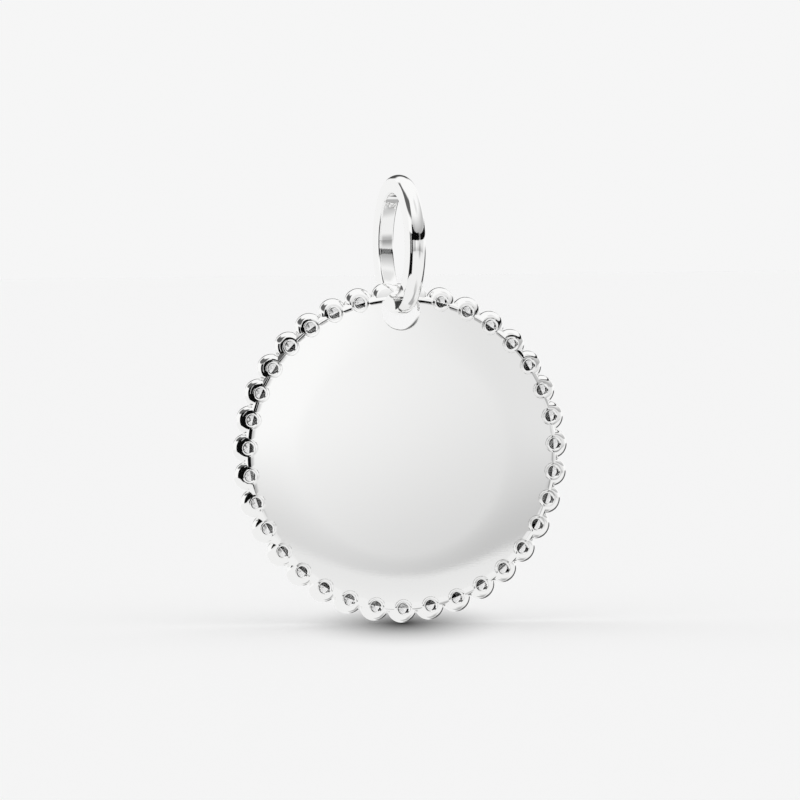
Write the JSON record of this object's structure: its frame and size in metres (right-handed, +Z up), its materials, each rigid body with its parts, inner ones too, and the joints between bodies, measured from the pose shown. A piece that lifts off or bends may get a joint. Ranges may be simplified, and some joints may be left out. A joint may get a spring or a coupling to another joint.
{
  "type": "disc pendant",
  "caption": "Round flat disc pendant with a beaded, stone-set rim and one polished plain face, hanging from a loose oval bail.",
  "frame": {"origin": "top of the bail's opening, in the middle of its band, where the chain bears", "axes": "+Z up; the plain polished face looks toward -Y and the stones' tables toward +Y; +X is to the right as the plain face is seen"},
  "size_m": [0.024, 0.0072, 0.0315],
  "materials": {
    "silver": "mirror polished",
    "stone": "faceted, clear"
  },
  "bodies": {
    "bail": {"bail": "silver"},
    "disc": {"disc": "silver", "stone_01": "stone", "stone_02": "stone", "stone_03": "stone", "stone_04": "stone", "stone_05": "stone", "stone_06": "stone", "stone_07": "stone", "stone_08": "stone", "stone_09": "stone", "stone_10": "stone", "stone_11": "stone", "stone_12": "stone", "stone_13": "stone", "stone_14": "stone", "stone_15": "stone", "stone_16": "stone", "stone_17": "stone", "stone_18": "stone", "stone_19": "stone", "stone_20": "stone", "stone_21": "stone", "stone_22": "stone", "stone_23": "stone", "stone_24": "stone", "stone_25": "stone", "stone_26": "stone", "stone_27": "stone", "stone_28": "stone", "stone_29": "stone", "stone_30": "stone", "stone_31": "stone", "stone_32": "stone", "stone_33": "stone"}
  },
  "joints": [
    {"name": "swing", "type": "hinge", "parent": "bail", "child": "disc", "pos_m": [0, 0, -0.0058], "axis": [1, 0, 0], "range_deg": [-85, 85]}
  ]
}
